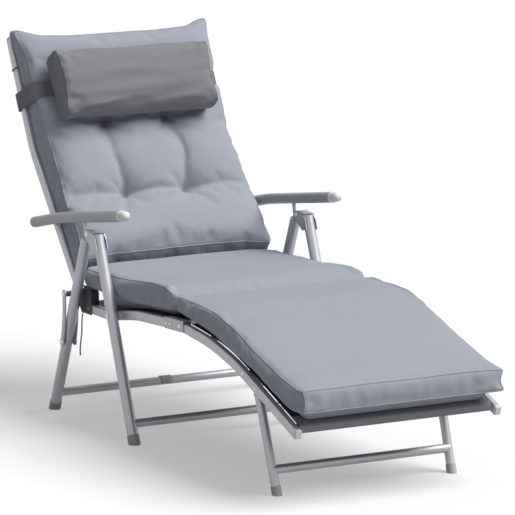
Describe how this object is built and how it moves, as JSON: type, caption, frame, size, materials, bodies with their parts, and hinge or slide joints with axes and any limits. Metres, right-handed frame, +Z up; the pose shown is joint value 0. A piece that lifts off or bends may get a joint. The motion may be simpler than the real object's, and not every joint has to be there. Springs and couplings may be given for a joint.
{
  "type": "folding reclining lounger",
  "caption": "Folding reclining lounger on steel tube legs, with mesh slings, level armrests, folding footrest, tufted cushion and strapped head pillow.",
  "frame": {"origin": "on the floor, under the middle of the chair's overall length and width", "axes": "+Z up, -Y towards the sitter's feet, +X towards the sitter's left; the length runs along Y"},
  "size_m": [0.65, 1.6134, 0.9566],
  "materials": {
    "frame_paint": "silver-grey powder coat, satin",
    "bracket_steel": "silver-grey powder coat on pressed steel",
    "bolt_steel": "zinc-plated, satin",
    "dark_plastic": "moulded nylon, matt",
    "grey_plastic": "moulded light grey plastic",
    "mesh": "open PVC-coated mesh weave",
    "cushion": "plain-woven polyester, matt",
    "pillow": "plain-woven polyester, matt",
    "strap": "woven polyester band"
  },
  "bodies": {
    "seat_frame": {"seat_rail_left": "frame_paint", "seat_rail_right": "frame_paint", "sleeve_brackets": "bracket_steel", "frame_rivets": "bolt_steel", "footrest_hinge_pins": "bolt_steel", "back_hinge_brackets": "dark_plastic", "back_hinge_bolts": "bolt_steel", "back_bolt_spacers": "dark_plastic", "leg_pivot_spacers": "grey_plastic", "leg_pivot_bolts": "bolt_steel", "seat_cross_tube": "frame_paint", "seat_mesh": "mesh", "seat_cushion": "cushion", "cushion_tie": "cushion"},
    "back_frame": {"back_rail_left": "frame_paint", "back_rail_right": "frame_paint", "back_cross_tubes": "frame_paint", "back_rail_caps": "grey_plastic", "back_mesh": "mesh", "back_cushion": "cushion", "head_pillow": "pillow", "pillow_strap": "strap", "elastic_loop": "strap", "armrest_bolts": "bolt_steel"},
    "armrest_pivots": {"armrest_bushes": "bracket_steel"},
    "armrests": {"armrest_left": "frame_paint", "armrest_right": "frame_paint", "armrest_tips": "grey_plastic", "armrest_plugs": "dark_plastic", "recline_racks": "dark_plastic"},
    "front_legs": {"front_leg_left": "frame_paint", "front_leg_right": "frame_paint", "front_crossbar": "frame_paint", "front_feet": "grey_plastic", "apex_brackets": "bracket_steel", "apex_bolts": "bolt_steel"},
    "rear_legs": {"rear_leg_left": "frame_paint", "rear_leg_right": "frame_paint", "rear_crossbar": "frame_paint", "rear_feet": "grey_plastic", "recline_prongs": "bracket_steel", "folding_catch": "grey_plastic"},
    "links": {"inner_links": "bracket_steel", "outer_links": "bracket_steel", "link_rivets": "bolt_steel"},
    "footrest": {"footrest_rail_left": "frame_paint", "footrest_rail_right": "frame_paint", "footrest_rail_caps": "grey_plastic", "footrest_cross_tube": "frame_paint", "footrest_mesh": "mesh", "footrest_cushion": "cushion", "foot_leg_pins": "bolt_steel", "foot_leg_spacers": "dark_plastic", "leg_stop_rivets": "bolt_steel"},
    "foot_legs": {"foot_leg_left": "frame_paint", "foot_leg_right": "frame_paint", "foot_crossbar": "frame_paint", "foot_leg_feet": "grey_plastic", "leg_stop_hooks": "dark_plastic"}
  },
  "joints": [
    {"name": "fold", "type": "hinge", "parent": "seat_frame", "child": "front_legs", "pos_m": [0, 0.1398, 0.3055], "axis": [1, 0, 0], "range_deg": [0, 80], "deforming": ["cushion_tie"]},
    {"name": "rear_leg_fold", "type": "hinge", "parent": "front_legs", "child": "rear_legs", "pos_m": [0, 0.252, 0.497], "axis": [1, 0, 0], "range_deg": [-46, 0]},
    {"name": "link_fold", "type": "hinge", "parent": "seat_frame", "child": "links", "pos_m": [0, 0.381, 0.322], "axis": [1, 0, 0], "range_deg": [-77, 0]},
    {"name": "footrest_fold", "type": "hinge", "parent": "seat_frame", "child": "footrest", "pos_m": [0, -0.191, 0.3355], "axis": [1, 0, 0], "range_deg": [0, 146]},
    {"name": "foot_leg_fold", "type": "hinge", "parent": "footrest", "child": "foot_legs", "pos_m": [0, -0.516, 0.279], "axis": [1, 0, 0], "range_deg": [-31, 0]},
    {"name": "recline", "type": "hinge", "parent": "seat_frame", "child": "back_frame", "pos_m": [0, 0.381, 0.322], "axis": [-1, 0, 0], "range_deg": [-21, 23]},
    {"name": "armrest_level", "type": "hinge", "parent": "back_frame", "child": "armrest_pivots", "pos_m": [0, 0.523, 0.4915], "axis": [-1, 0, 0], "range_deg": [-12, 11]},
    {"name": "armrest_fold", "type": "hinge", "parent": "armrest_pivots", "child": "armrests", "pos_m": [0, 0.523, 0.4915], "axis": [1, 0, 0], "range_deg": [-114, 0]}
  ],
  "couplings": [
    {"joint": "rear_leg_fold", "follows": "fold", "ratio": -0.57294},
    {"joint": "link_fold", "follows": "fold", "ratio": -0.95811},
    {"joint": "footrest_fold", "follows": "fold", "ratio": 1.8125},
    {"joint": "foot_leg_fold", "follows": "fold", "ratio": -0.375},
    {"joint": "armrest_level", "follows": "recline", "ratio": -0.52},
    {"joint": "armrest_fold", "follows": "fold", "ratio": -1.4125}
  ]
}
